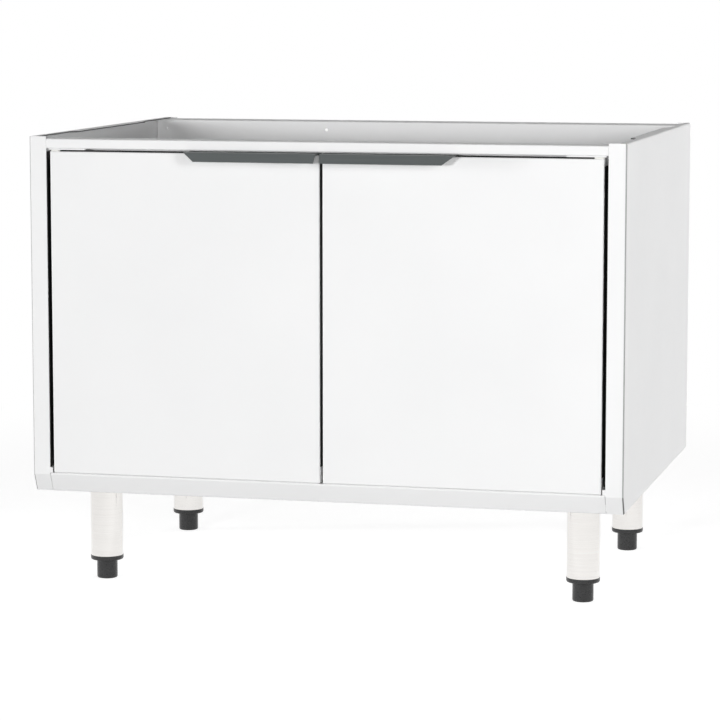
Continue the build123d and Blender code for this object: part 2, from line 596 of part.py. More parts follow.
# Doors: an outer tray closed behind by an inner pan, with bushes for the pivots
for hand, side in SIDES:
    with BuildPart() as door_skin:
        with BuildSketch(Plane.XZ.offset(-DOOR_FACE)):
            with Locations((side * DOOR_MIDDLE_X, DOOR_MIDDLE_Z)):
                Rectangle(DOOR_WIDTH, DOOR_HEIGHT)
        extrude(amount=-DOOR_THICKNESS)
        offset(amount=-DOOR_SHEET, openings=door_skin.faces().sort_by(Axis.Y)[-1], kind=Kind.INTERSECTION)
        fillet(door_skin.faces().sort_by(Axis.Y)[0].edges(), radius=DOOR_BEND)
        with BuildSketch(Plane.XY.offset(DOOR_BOTTOM)):
            with Locations((side * PIVOT_X, PIVOT_Y)):
                Circle(BUSH_R)
        extrude(amount=DOOR_HEIGHT, mode=Mode.SUBTRACT)
        with BuildSketch(Plane.XY.offset(DOOR_TOP)):
            with Locations(*[(side * x, PULL_SCREW_Y) for x in PULL_SCREWS_X]):
                Circle(SCREW_R + SCREW_CLEARANCE)
        extrude(amount=-2 * DOOR_SHEET, mode=Mode.SUBTRACT)
    door_skin.part.label = f"{hand}_door_skin"
    export_step(door_skin.part, f"parts/{hand}_door_skin.step")

    with BuildPart() as door_liner:
        inset = DOOR_SHEET + LINER_GAP
        with BuildSketch(Plane.XZ.offset(-DOOR_BACK)):
            with Locations((side * DOOR_MIDDLE_X, DOOR_MIDDLE_Z)):
                Rectangle(DOOR_WIDTH - 2 * inset, DOOR_HEIGHT - 2 * inset)
        extrude(amount=LINER_FLANGE)
        offset(amount=-DOOR_SHEET, openings=door_liner.faces().sort_by(Axis.Y)[0], kind=Kind.INTERSECTION)
        fillet(door_liner.faces().sort_by(Axis.Y)[-1].edges(), radius=DOOR_BEND)
        with BuildSketch(Plane.XY.offset(DOOR_BOTTOM)):
            with Locations((side * PIVOT_X, PIVOT_Y)):
                Circle(BUSH_R + SCREW_CLEARANCE)
        extrude(amount=DOOR_HEIGHT, mode=Mode.SUBTRACT)
        with BuildSketch(Plane.XY.offset(DOOR_TOP)):
            with Locations(*[(side * x, PULL_SCREW_Y) for x in PULL_SCREWS_X]):
                Circle(SCREW_R + SCREW_CLEARANCE)
        extrude(amount=-4 * DOOR_SHEET, mode=Mode.SUBTRACT)
    door_liner.part.label = f"{hand}_door_liner"
    export_step(door_liner.part, f"parts/{hand}_door_liner.step")

    # Bushes: plain bearings pressed into the door's edges, the top one under a block at the corner
    with BuildPart() as top_bush:
        with BuildSketch(Plane.XY.offset(DOOR_TOP)):
            with Locations((side * TOP_BLOCK_X, PIVOT_Y)):
                Rectangle(TOP_BLOCK[0], TOP_BLOCK[1])
        extrude(amount=TOP_BLOCK[2])
        chamfer(top_bush.edges().filter_by(Axis.Z), length=TOP_BLOCK_CORNER)
        with BuildSketch(Plane.XY.offset(DOOR_TOP)):
            with Locations((side * PIVOT_X, PIVOT_Y)):
                Circle(BUSH_R)
        extrude(amount=-BUSH_LENGTH)
        with BuildSketch(Plane.XY.offset(DOOR_TOP + TOP_BLOCK[2])):
            with Locations((side * PIVOT_X, PIVOT_Y)):
                Circle(PIN_R + PIN_CLEARANCE)
        extrude(amount=-TOP_BLOCK[2] - BUSH_LENGTH, mode=Mode.SUBTRACT)
    top_bush.part.label = f"{hand}_door_top_bush"
    export_step(top_bush.part, f"parts/{hand}_door_top_bush.step")

    with BuildPart() as bottom_bush:
        with BuildSketch(Plane.XY.offset(DOOR_BOTTOM)):
            with Locations((side * PIVOT_X, PIVOT_Y)):
                Circle(BUSH_FLANGE_R)
        extrude(amount=-BOTTOM_BUSH_FLANGE)
        with BuildSketch(Plane.XY.offset(DOOR_BOTTOM)):
            with Locations((side * PIVOT_X, PIVOT_Y)):
                Circle(BUSH_R)
        extrude(amount=BUSH_LENGTH)
        with BuildSketch(Plane.XY.offset(DOOR_BOTTOM - BOTTOM_BUSH_FLANGE)):
            with Locations((side * PIVOT_X, PIVOT_Y)):
                Circle(PIN_R + PIN_CLEARANCE)
        extrude(amount=BOTTOM_BUSH_FLANGE + BUSH_LENGTH, mode=Mode.SUBTRACT)
    bottom_bush.part.label = f"{hand}_door_bottom_bush"
    export_step(bottom_bush.part, f"parts/{hand}_door_bottom_bush.step")

    # Edge seals: strips on the two upright edges, and on the top edge as far as the pull
    with BuildPart() as edge_seals:
        seal_width = DOOR_THICKNESS - 2 * SEAL_MARGIN
        with BuildSketch(Plane.XY.offset(SEAL_BOTTOM)):
            for edge_x, way in ((DOOR_OUTER, 1), (DOOR_INNER, -1)):
                with Locations((side * (edge_x + way * SEAL / 2), DOOR_FACE + DOOR_THICKNESS / 2)):
                    RectangleRounded(SEAL, seal_width, radius=SEAL_CORNER)
        extrude(amount=SEAL_TOP - SEAL_BOTTOM)
        with BuildSketch(Plane.XY.offset(DOOR_TOP)):
            top_seal_inner = PULL_ENDS_TOP[1] + JOINT_GAP
            with Locations((side * (TOP_SEAL_OUTER + top_seal_inner) / 2, DOOR_FACE + DOOR_THICKNESS / 2)):
                Rectangle(TOP_SEAL_OUTER - top_seal_inner, seal_width)
        extrude(amount=TOP_SEAL)
    edge_seals.part.label = f"{hand}_door_edge_seals"
    export_step(edge_seals.part, f"parts/{hand}_door_edge_seals.step")

    # Pull: a folded strip on the door's top edge, whose lip leans outwards and has slanted ends
    with BuildPart() as pull:
        with BuildSketch(Plane.YZ):
            with BuildLine():
                pull_line = FilletPolyline(
                    (DOOR_FACE + PULL_BASE, PULL_TOP),
                    (DOOR_FACE - PULL_SHELF, PULL_TOP),
                    (DOOR_FACE - PULL_REACH, PULL_TOP - PULL_LIP),
                    radius=PULL_BEND,
                )
                offset(pull_line, amount=PULL_SHEET, side=Side.LEFT)
            make_face()
        extrude(amount=side * HALF)
        with BuildSketch(Plane.XZ.offset(DEPTH)):
            with BuildLine():
                Polyline(
                    (side * PULL_ENDS_TOP[0], PULL_TOP),
                    (side * PULL_ENDS_TOP[1], PULL_TOP),
                    (side * PULL_ENDS_BOTTOM[1], PULL_TOP - PULL_LIP),
                    (side * PULL_ENDS_BOTTOM[0], PULL_TOP - PULL_LIP),
                    close=True,
                )
            make_face()
        extrude(amount=-2 * DEPTH, mode=Mode.INTERSECT)
        for screw_x in PULL_SCREWS_X:
            with Locations(Plane((side * screw_x, PULL_SCREW_Y, PULL_TOP))):
                CounterSinkHole(SCREW_R + SCREW_CLEARANCE, HEAD_R + SCREW_CLEARANCE, counter_sink_angle=90)
    pull.part.label = f"{hand}_pull"
    export_step(pull.part, f"parts/{hand}_pull.step")

    with BuildPart() as pull_screws:
        for screw_x in PULL_SCREWS_X:
            with BuildSketch(
                Plane((side * screw_x, PULL_SCREW_Y, PULL_TOP), x_dir=(1, 0, 0), z_dir=(0, -1, 0))
            ):
                with BuildLine():
                    Polyline(
                        (0, 0),
                        (HEAD_R, 0),
                        (SCREW_R, -HEAD_DEPTH),
                        (SCREW_R, -PULL_SHEET - 4 * DOOR_SHEET),
                        (0, -PULL_SHEET - 4 * DOOR_SHEET),
                        close=True,
                    )
                make_face()
            revolve(axis=Axis((side * screw_x, PULL_SCREW_Y, 0), (0, 0, 1)))
    pull_screws.part.label = f"{hand}_pull_screws"
    export_step(pull_screws.part, f"parts/{hand}_pull_screws.step")

    # Strike plate for the magnetic catch
    with BuildPart() as strike_plate:
        with BuildSketch(Plane.XZ.offset(-DOOR_BACK)):
            with Locations((side * CATCH_X, (CATCH_BOTTOM + CATCH_NOSE_TOP) / 2)):
                RectangleRounded(STRIKE[0], STRIKE[1], radius=STRIKE_CORNER)
        extrude(amount=-STRIKE[2])
    strike_plate.part.label = f"{hand}_strike_plate"
    export_step(strike_plate.part, f"parts/{hand}_strike_plate.step")
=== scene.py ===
import bmesh
import bpy
import math
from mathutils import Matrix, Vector


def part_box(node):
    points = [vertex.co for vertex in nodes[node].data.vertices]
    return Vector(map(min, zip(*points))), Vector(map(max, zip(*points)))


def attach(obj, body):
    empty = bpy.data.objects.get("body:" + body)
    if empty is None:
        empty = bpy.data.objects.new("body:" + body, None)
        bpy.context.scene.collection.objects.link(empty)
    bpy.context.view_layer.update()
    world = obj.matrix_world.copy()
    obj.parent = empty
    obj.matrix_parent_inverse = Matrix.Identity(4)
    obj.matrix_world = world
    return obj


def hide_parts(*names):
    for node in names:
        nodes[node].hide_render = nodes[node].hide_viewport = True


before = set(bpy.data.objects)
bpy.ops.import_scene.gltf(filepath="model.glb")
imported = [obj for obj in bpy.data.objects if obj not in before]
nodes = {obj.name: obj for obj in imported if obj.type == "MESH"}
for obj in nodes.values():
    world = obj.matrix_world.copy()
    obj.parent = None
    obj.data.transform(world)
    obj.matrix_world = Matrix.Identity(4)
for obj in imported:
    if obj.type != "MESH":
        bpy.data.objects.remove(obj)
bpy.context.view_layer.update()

# Side panels, rail, floor and back
# Folded mild steel sheet, spot-welded and then powder-coated white in one go.
# The coat has a faint orange peel, and pools a touch duller here and there.

NOISE_LOW = 0.3     # nearly all of a noise's values lie between these two
NOISE_HIGH = 0.7


def surface(name):
    """A new material, with its nodes, its shader and the piece's own coordinates."""
    material = bpy.data.materials.new(name)
    material.use_nodes = True
    tree = material.node_tree
    shader = tree.nodes["Principled BSDF"]
    place = tree.nodes.new("ShaderNodeTexCoord").outputs["Object"]
    return material, tree, shader, place


def grain(tree, place, scale, stretch=(1, 1, 1), detail=2.0):
    """Noise at this many cells a metre, drawn out along the axes with a small stretch."""
    mapping = tree.nodes.new("ShaderNodeMapping")
    mapping.inputs["Scale"].default_value = stretch
    noise = tree.nodes.new("ShaderNodeTexNoise")
    noise.inputs["Scale"].default_value = scale
    noise.inputs["Detail"].default_value = detail
    tree.links.new(place, mapping.inputs["Vector"])
    tree.links.new(mapping.outputs["Vector"], noise.inputs["Vector"])
    return noise.outputs["Fac"]


def shades(tree, source, dark, light, shader):
    """Drives the shader's colour from dark to light."""
    ramp = tree.nodes.new("ShaderNodeValToRGB")
    ramp.color_ramp.elements[0].position = NOISE_LOW
    ramp.color_ramp.elements[0].color = (*dark, 1)
    ramp.color_ramp.elements[1].position = NOISE_HIGH
    ramp.color_ramp.elements[1].color = (*light, 1)
    tree.links.new(source, ramp.inputs["Fac"])
    tree.links.new(ramp.outputs["Color"], shader.inputs["Base Color"])


def spread(tree, source, low, high, shader):
    """Drives the shader's roughness between low and high."""
    reach = tree.nodes.new("ShaderNodeMapRange")
    reach.inputs["From Min"].default_value = NOISE_LOW
    reach.inputs["From Max"].default_value = NOISE_HIGH
    reach.inputs["To Min"].default_value = low
    reach.inputs["To Max"].default_value = high
    tree.links.new(source, reach.inputs["Value"])
    tree.links.new(reach.outputs["Result"], shader.inputs["Roughness"])


def relief(tree, source, depth, strength, shader):
    """Bumps the shader's normal by this depth in metres."""
    bump = tree.nodes.new("ShaderNodeBump")
    bump.inputs["Distance"].default_value = depth
    bump.inputs["Strength"].default_value = strength
    tree.links.new(source, bump.inputs["Height"])
    tree.links.new(bump.outputs["Normal"], shader.inputs["Normal"])


def coat(material, *names):
    """Gives the named CAD nodes this material."""
    for name in names:
        for slot in nodes[name].material_slots:
            slot.material = material


def reckon(tree, operation, *terms):
    """A math node on sockets or numbers."""
    node = tree.nodes.new("ShaderNodeMath")
    node.operation = operation
    for socket, term in zip(node.inputs, terms):
        if isinstance(term, (int, float)):
            socket.default_value = term
        else:
            tree.links.new(term, socket)
    return node.outputs[0]


def powder(name):
    """The white coat, as a new material with its parts."""
    material, tree, shader, place = surface(name)
    pools = grain(tree, place, 5)
    shades(tree, pools, (0.868, 0.870, 0.872), (0.892, 0.893, 0.894), shader)
    spread(tree, grain(tree, place, 40), 0.36, 0.44, shader)
    relief(tree, grain(tree, place, 650, detail=1.0), 0.00003, 0.25, shader)
    return material, tree, shader, place


powder_coat = powder("white_powder_coat")[0]
coat(powder_coat, "top_front_rail", "bottom_panel", "back_panel")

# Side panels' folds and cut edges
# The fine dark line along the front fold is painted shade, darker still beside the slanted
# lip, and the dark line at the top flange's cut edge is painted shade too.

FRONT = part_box("left_side_panel")[0][1]
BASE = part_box("left_side_panel")[0][2]
PANEL_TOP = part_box("left_side_panel")[1][2]
LIP_HEIGHT = 0.0234
LIP_SLOPE = 11.0 / 23.4
FOLD_START = 0.3984       # out from the middle, where the wall's face begins
FOLD_DEPTH = 0.0022       # back from the front, as far as the painted shade line reaches
FLANGE_END = 0.3975       # out from the middle, where the top flange's fold begins
FLANGE_EDGE = 0.0017      # down from the panel's top, past the cut edge
UPRIGHT = 0.5             # faces whose normal rises less than this stand upright
SIDEWAYS = 0.8            # and less than this along the depth, they face a side


def paint_shade(tree, shader, mask, colour):
    """Lays another colour over the shader's where the mask is 1; here that colour is painted shade.
    """
    under = shader.inputs["Base Color"].links[0].from_socket
    mix = tree.nodes.new("ShaderNodeMix")
    mix.data_type = "RGBA"
    for socket in mix.inputs:
        if socket.type == "RGBA" and socket.name == "A":
            tree.links.new(under, socket)
        if socket.type == "RGBA" and socket.name == "B":
            socket.default_value = (*colour, 1)
    tree.links.new(mask, mix.inputs["Factor"])
    result = [socket for socket in mix.outputs if socket.type == "RGBA"][0]
    tree.links.new(result, shader.inputs["Base Color"])


panel_coat, tree, shader, place = powder("side_panel_coat")
axes = tree.nodes.new("ShaderNodeSeparateXYZ")
tree.links.new(place, axes.inputs[0])
facing = tree.nodes.new("ShaderNodeSeparateXYZ")
tree.links.new(place.node.outputs["Normal"], facing.inputs[0])
across = reckon(tree, "ABSOLUTE", axes.outputs["X"])
drop = reckon(tree, "MAXIMUM", reckon(tree, "SUBTRACT", BASE + LIP_HEIGHT, axes.outputs["Z"]), 0.0)
front_edge = reckon(tree, "MULTIPLY_ADD", drop, LIP_SLOPE, FRONT)
behind = reckon(tree, "SUBTRACT", axes.outputs["Y"], front_edge)
painted_fold_shade = reckon(tree, "MULTIPLY", reckon(tree, "GREATER_THAN", across, FOLD_START),
              reckon(tree, "LESS_THAN", behind, FOLD_DEPTH))
# Painted shade: a grey line along the front fold, standing in for the shade at the bend.
paint_shade(tree, shader, painted_fold_shade, (0.42, 0.42, 0.42))
# Painted shade: a darker line where the front fold runs down the slanted lip, standing in for the
# shade there.
painted_lip_fold_shade = reckon(tree, "MULTIPLY", painted_fold_shade, reckon(tree, "GREATER_THAN", drop, 0.0))
paint_shade(tree, shader, painted_lip_fold_shade, (0.13, 0.13, 0.13))
flange = reckon(tree, "MULTIPLY",
                reckon(tree, "GREATER_THAN", axes.outputs["Z"], PANEL_TOP - FLANGE_EDGE),
                reckon(tree, "LESS_THAN", across, FLANGE_END))
upright = reckon(tree, "LESS_THAN", reckon(tree, "ABSOLUTE", facing.outputs["Z"]), UPRIGHT)
sideways = reckon(tree, "LESS_THAN", reckon(tree, "ABSOLUTE", facing.outputs["Y"]), SIDEWAYS)
painted_flange_edge_shade = reckon(tree, "MULTIPLY", flange, reckon(tree, "MULTIPLY", upright, sideways))
# Painted shade: a near-black line on the top flange's inner cut edge, standing in for the shade
# under the flange.
paint_shade(tree, shader, painted_flange_edge_shade, (0.04, 0.04, 0.042))
coat(panel_coat, "left_side_panel", "right_side_panel")

# Leg channels and leg plates
# Hat sections of zinc-plated steel under the floor, with a thicker plate bolted under each leg.
# Zinc shows a fine spangle and a dull grey sheen.

zinc, tree, shader, place = surface("zinc_plate")
shader.inputs["Metallic"].default_value = 0.85
spangle = grain(tree, place, 160, detail=3)
shades(tree, spangle, (0.50, 0.51, 0.52), (0.62, 0.63, 0.64), shader)
spread(tree, grain(tree, place, 220), 0.34, 0.50, shader)
relief(tree, grain(tree, place, 900), 0.00002, 0.3, shader)
coat(zinc, "left_leg_channel", "right_leg_channel")
CORNERS = [f"{row}_{hand}" for row in ("front", "rear") for hand in ("left", "right")]
coat(zinc, *[f"{corner}_leg_plate" for corner in CORNERS])

# Leg tubes
# Round stainless tube, polished round and round on a lathe, so its marks are fine rings.
# It is bright enough to mirror what stands round it, here the white backdrop.

stainless, tree, shader, place = surface("polished_stainless")
shader.inputs["Metallic"].default_value = 1.0
rings = grain(tree, place, 60, stretch=(0.2, 0.2, 40))
shades(tree, rings, (0.775, 0.757, 0.735), (0.835, 0.818, 0.796), shader)
spread(tree, rings, 0.07, 0.12, shader)
relief(tree, rings, 0.000004, 0.3, shader)
coat(stainless, *[f"{corner}_leg_tube" for corner in CORNERS])

# Collars and feet
# Moulded black polyamide, slightly glossy, with the fine texture of the mould.

black_plastic, tree, shader, place = surface("black_moulding")
shades(tree, grain(tree, place, 90), (0.016, 0.016, 0.0165), (0.023, 0.023, 0.0235), shader)
spread(tree, grain(tree, place, 300), 0.24, 0.34, shader)
relief(tree, grain(tree, place, 1400), 0.00002, 0.3, shader)
coat(black_plastic, *[f"{corner}_leg_collar" for corner in CORNERS])
coat(black_plastic, *[f"{corner}_foot" for corner in CORNERS])
coat(black_plastic, "left_magnetic_catch", "right_magnetic_catch")

# Foot stems
# M12 rods of zinc-plated steel with a rolled thread, moulded into the feet. The collars' threads
# carry them, so the exposed turns show when a foot is screwed out.

LEG_X = 0.3317
LEG_Y = {"front": -0.182, "rear": 0.1944}
THREAD_PITCH = 0.00175
THREAD_TURNS = 29
TURN_STEPS = 24
CREST_R = 0.0060
CORE_R = 0.0053
STEM_CHAMFER = 0.001
THREAD_FREE = 0.002       # bare length at the stem's top
ROOT_SINK = 0.0004        # the thread's foot lies this deep in the core
START_SINK = 0.0002       # where a thread starts and ends, its crest dips into the core
SHARP_ANGLE = math.radians(32)


def soften(mesh):
    """Smooth shading, broken at the edges that are really sharp."""
    mesh.shade_smooth()
    mesh.set_sharp_from_angle(angle=SHARP_ANGLE)


def plain(name, build, body, material, slot, *stands_for):
    """Turns a bmesh into a shown piece on a body, in place of CAD nodes."""
    mesh = bpy.data.meshes.new(name)
    bmesh.ops.recalc_face_normals(build, faces=build.faces[:])
    build.to_mesh(mesh)
    build.free()
    soften(mesh)
    piece = bpy.data.objects.new(name, mesh)
    bpy.context.scene.collection.objects.link(piece)
    mesh.materials.append(material)
    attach(piece, body)
    if stands_for:
        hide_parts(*stands_for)


def lathe(build, profile, steps, centre=(0, 0, 0)):
    """Adds a closed turned solid: profile runs from the axis to the axis, as radius and height."""
    rings = []
    for radius, height in profile:
        if radius == 0:
            rings.append([build.verts.new((centre[0], centre[1], centre[2] + height))] * steps)
            continue
        rings.append([
            build.verts.new((centre[0] + radius * math.cos(2 * math.pi * step / steps),
                             centre[1] + radius * math.sin(2 * math.pi * step / steps),
                             centre[2] + height))
            for step in range(steps)
        ])
    for lower, upper in zip(rings, rings[1:]):
        for step in range(steps):
            after = (step + 1) % steps
            corners = [lower[step], lower[after], upper[after], upper[step]]
            distinct = list(dict.fromkeys(corners))
            if len(distinct) > 2:
                build.faces.new(distinct)


for corner in CORNERS:
    row, hand = corner.split("_")
    low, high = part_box(f"{corner}_foot_stem")
    x = -LEG_X if hand == "left" else LEG_X
    y = LEG_Y[row]
    build = bmesh.new()
    core = [(0, low[2]), (CORE_R, low[2]), (CORE_R, high[2] - STEM_CHAMFER),
            (CORE_R - STEM_CHAMFER, high[2]), (0, high[2])]
    lathe(build, core, TURN_STEPS, (x, y, 0))
    bottom = high[2] - THREAD_FREE - THREAD_TURNS * THREAD_PITCH - THREAD_PITCH
    loops = []
    steps = THREAD_TURNS * TURN_STEPS
    for step in range(steps + 1):
        angle = 2 * math.pi * step / TURN_STEPS
        run_in = min(1.0, step / TURN_STEPS, (steps - step) / TURN_STEPS)
        crest = CORE_R - START_SINK + (CREST_R - CORE_R + START_SINK) * run_in
        level = bottom + THREAD_PITCH * step / TURN_STEPS
        root = CORE_R - ROOT_SINK
        ridge = ((root, 0.02), (crest, 0.42), (crest, 0.56), (root, 0.98))
        loops.append([
            build.verts.new((x + radius * math.cos(angle), y + radius * math.sin(angle),
                             level + share * THREAD_PITCH))
            for radius, share in ridge
        ])
    for before, after in zip(loops, loops[1:]):
        for index in range(4):
            following = (index + 1) % 4
            build.faces.new((before[index], after[index], after[following], before[following]))
    build.faces.new(loops[0])
    build.faces.new(loops[-1])
    plain(f"{corner}_threaded_stem", build, f"{corner}_levelling_foot", zinc, "zinc_steel",
          f"{corner}_foot_stem")

# Leg bolts
# Four zinc-plated hexagon bolts with washers hold each plate to the channel. One bolt is modelled
# and repeated, each turned as it happened to be tightened.

PLATE_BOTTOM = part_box("front_left_leg_plate")[0][2]
BOLT_OFFSET = 0.028


def repeated(name, unit, places, tilt, turn, body, material, slot, *stands_for):
    """Copies of a unit at these places by geometry nodes, as one plain mesh on a body."""
    points = bpy.data.meshes.new(name + "_points")
    points.from_pydata(places, [], [])
    holder = bpy.data.objects.new(name + "_points", points)
    bpy.context.scene.collection.objects.link(holder)
    group = bpy.data.node_groups.new(name, "GeometryNodeTree")
    group.interface.new_socket("Geometry", in_out="INPUT", socket_type="NodeSocketGeometry")
    part_in = group.interface.new_socket("Part", in_out="INPUT", socket_type="NodeSocketObject")
    finish_in = group.interface.new_socket("Finish", in_out="INPUT",
                                           socket_type="NodeSocketMaterial")
    turn_in = group.interface.new_socket("Turn", in_out="INPUT", socket_type="NodeSocketFloat")
    tilt_in = group.interface.new_socket("Tilt", in_out="INPUT", socket_type="NodeSocketVector")
    group.interface.new_socket("Geometry", in_out="OUTPUT", socket_type="NodeSocketGeometry")
    given = group.nodes.new("NodeGroupInput")
    result = group.nodes.new("NodeGroupOutput")
    part = group.nodes.new("GeometryNodeObjectInfo")
    chance = group.nodes.new("FunctionNodeRandomValue")
    chance.data_type = "FLOAT"
    chance.inputs["Seed"].default_value = 7
    angles = group.nodes.new("ShaderNodeCombineXYZ")
    copies = group.nodes.new("GeometryNodeInstanceOnPoints")
    spun = group.nodes.new("GeometryNodeRotateInstances")
    real = group.nodes.new("GeometryNodeRealizeInstances")
    finish = group.nodes.new("GeometryNodeSetMaterial")
    chance_top = [socket for socket in chance.inputs if socket.name == "Max" and socket.enabled][0]
    chance_out = [socket for socket in chance.outputs if socket.enabled][0]
    join = group.links.new
    join(given.outputs["Part"], part.inputs["Object"])
    join(given.outputs["Geometry"], copies.inputs["Points"])
    join(part.outputs["Geometry"], copies.inputs["Instance"])
    join(given.outputs["Tilt"], copies.inputs["Rotation"])
    join(given.outputs["Turn"], chance_top)
    join(chance_out, angles.inputs["Z"])
    join(copies.outputs["Instances"], spun.inputs["Instances"])
    join(angles.outputs["Vector"], spun.inputs["Rotation"])
    join(spun.outputs["Instances"], real.inputs["Geometry"])
    join(real.outputs["Geometry"], finish.inputs["Geometry"])
    join(given.outputs["Finish"], finish.inputs["Material"])
    join(finish.outputs["Geometry"], result.inputs["Geometry"])
    modifier = holder.modifiers.new("copies", "NODES")
    modifier.node_group = group
    modifier[part_in.identifier] = unit
    modifier[finish_in.identifier] = material
    modifier[turn_in.identifier] = turn
    modifier[tilt_in.identifier] = tilt
    evaluated = holder.evaluated_get(bpy.context.evaluated_depsgraph_get())
    mesh = bpy.data.meshes.new_from_object(evaluated)
    mesh.name = name
    soften(mesh)
    piece = bpy.data.objects.new(name, mesh)
    bpy.context.scene.collection.objects.link(piece)
    bpy.data.objects.remove(holder)
    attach(piece, body)
    if stands_for:
        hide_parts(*stands_for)


def unit_of(name, build):
    """A bmesh as a loose object that only the copies use."""
    mesh = bpy.data.meshes.new(name)
    bmesh.ops.recalc_face_normals(build, faces=build.faces[:])
    build.to_mesh(mesh)
    build.free()
    return bpy.data.objects.new(name, mesh)


WASHER = [(0, 0), (0.0065, 0), (0.0070, -0.0002), (0.0070, -0.0010), (0.0066, -0.0012),
          (0, -0.0012)]
HEXAGON = [(0, -0.0038), (0.0047, -0.0040), (0.00576, -0.0035), (0.00576, -0.0010), (0, -0.0010)]
SHANK = [(0, 0.0120), (0.0024, 0.0120), (0.0030, 0.0113), (0.0030, -0.0005), (0, -0.0005)]
build = bmesh.new()
lathe(build, WASHER, 32)
lathe(build, HEXAGON, 6)
lathe(build, SHANK, 24)
bolt_places = [
    (side * LEG_X + dx * BOLT_OFFSET, y + dy * BOLT_OFFSET, PLATE_BOTTOM)
    for side in (-1, 1) for y in LEG_Y.values() for dx in (-1, 1) for dy in (-1, 1)
]
repeated("leg_bolts", unit_of("leg_bolt", build), bolt_places, (0, 0, 0), math.pi / 3,
         "carcass", zinc, "zinc_steel", "leg_plate_bolts")

# Weld beads
# Each tube is welded to its plate all round. The bead still shows its ripples, and is duller than
# the tube, with straw-coloured patches from the heat.

weld_metal, tree, shader, place = surface("weld_metal")
shader.inputs["Metallic"].default_value = 1.0
heat = grain(tree, place, 90, detail=3)
shades(tree, heat, (0.50, 0.47, 0.42), (0.66, 0.65, 0.63), shader)
spread(tree, grain(tree, place, 500), 0.26, 0.42, shader)
relief(tree, grain(tree, place, 1800), 0.00002, 0.3, shader)

TUBE_R = 0.02205
BEAD_R = 0.0019
BEAD_STEPS = 368
BEAD_SIDES = 12
RIPPLES = 46
BEAD_GAP = 0.0002         # the bead's flat side lies this far below the plate
build = bmesh.new()
bead = []
for step in range(BEAD_STEPS):
    angle = 2 * math.pi * step / BEAD_STEPS
    swell = 1 + 0.10 * math.sin(RIPPLES * angle) + 0.06 * math.sin(5 * angle + 1.0)
    ring = []
    for side in range(BEAD_SIDES):
        round_bead = 2 * math.pi * side / BEAD_SIDES
        reach = TUBE_R + BEAD_R * swell * math.cos(round_bead)
        depth = -BEAD_GAP + BEAD_R * swell * min(0.0, math.sin(round_bead))
        ring.append(build.verts.new((reach * math.cos(angle), reach * math.sin(angle), depth)))
    bead.append(ring)
for step in range(BEAD_STEPS):
    for side in range(BEAD_SIDES):
        after = bead[(step + 1) % BEAD_STEPS]
        following = (side + 1) % BEAD_SIDES
        build.faces.new((bead[step][side], after[side], after[following], bead[step][following]))
leg_places = [(side * LEG_X, y, PLATE_BOTTOM) for side in (-1, 1) for y in LEG_Y.values()]
repeated("leg_weld_beads", unit_of("weld_bead", build), leg_places, (0, 0, 0), math.pi,
         "carcass", weld_metal, "satin_stainless")

# Spot welds
# The leg channels' brims are spot-welded to the floor, in a row along each brim. A weld leaves a
# shallow round mark in the zinc, where the electrode pressed.

SPOT_MARK = [(0, -0.00012), (0.0018, -0.00012), (0.0027, 0.0001), (0.0027, 0.0004), (0, 0.0004)]
SPOTS_PER_BRIM = 11
SPOT_PITCH = 0.047
FIRST_SPOT_Y = -0.235
BRIM_X = 0.047            # from the channel's middle to the middle of its brim
BRIM_THICKNESS = 0.002
build = bmesh.new()
lathe(build, SPOT_MARK, 20)
brim_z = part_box("left_leg_channel")[1][2] - BRIM_THICKNESS
spot_places = [
    (side * LEG_X + edge * BRIM_X, FIRST_SPOT_Y + SPOT_PITCH * step, brim_z)
    for side in (-1, 1) for edge in (-1, 1) for step in range(SPOTS_PER_BRIM)
]
repeated("spot_welds", unit_of("spot_weld", build), spot_places, (0, 0, 0), math.pi,
         "carcass", zinc, "zinc_steel")

# Bracket, catch and pull screws
# Small zinc-plated screws with a cross recess, countersunk in the brackets and pulls and with pan
# heads behind the catches.

CROSS = ((3, 1), (1, 1), (1, 3), (-1, 3), (-1, 1), (-3, 1),
         (-3, -1), (-1, -1), (-1, -3), (1, -3), (1, -1), (3, -1))
CROSS_WIDE = 0.00047      # half the slot's width at the recess's mouth
CROSS_NARROW = 0.00026    # and at its foot
CROSS_DEPTH = 0.0011
CROSS_OVER = 0.0005       # the cutter starts this high over the head


def cross_screw(name, profile, top):
    """A turned screw whose head, at height top, has a tapering cross recess."""
    build = bmesh.new()
    lathe(build, profile, 24)
    body = unit_of(name, build)
    build = bmesh.new()
    upper = [build.verts.new((a * CROSS_WIDE, b * CROSS_WIDE, top + CROSS_OVER)) for a, b in CROSS]
    lower = [
        build.verts.new((a * CROSS_NARROW, b * CROSS_NARROW, top - CROSS_DEPTH)) for a, b in CROSS
    ]
    build.faces.new(upper)
    build.faces.new(lower)
    for index in range(len(CROSS)):
        following = (index + 1) % len(CROSS)
        build.faces.new((upper[index], upper[following], lower[following], lower[index]))
    recess = unit_of(name + "_recess", build)
    for item in (body, recess):
        bpy.context.scene.collection.objects.link(item)
    cut = body.modifiers.new("recess", "BOOLEAN")
    cut.operation = "DIFFERENCE"
    cut.solver = "EXACT"
    cut.object = recess
    evaluated = body.evaluated_get(bpy.context.evaluated_depsgraph_get())
    mesh = bpy.data.meshes.new_from_object(evaluated)
    screw = bpy.data.objects.new(name + "_cut", mesh)
    bpy.data.objects.remove(body)
    bpy.data.objects.remove(recess)
    return screw


def countersunk(name, length):
    """A screw of this length with a flat head that lies flush."""
    profile = [(0, 0), (0.0028, 0), (0.0015, -0.0013), (0.0015, -length), (0, -length)]
    return cross_screw(name, profile, 0)


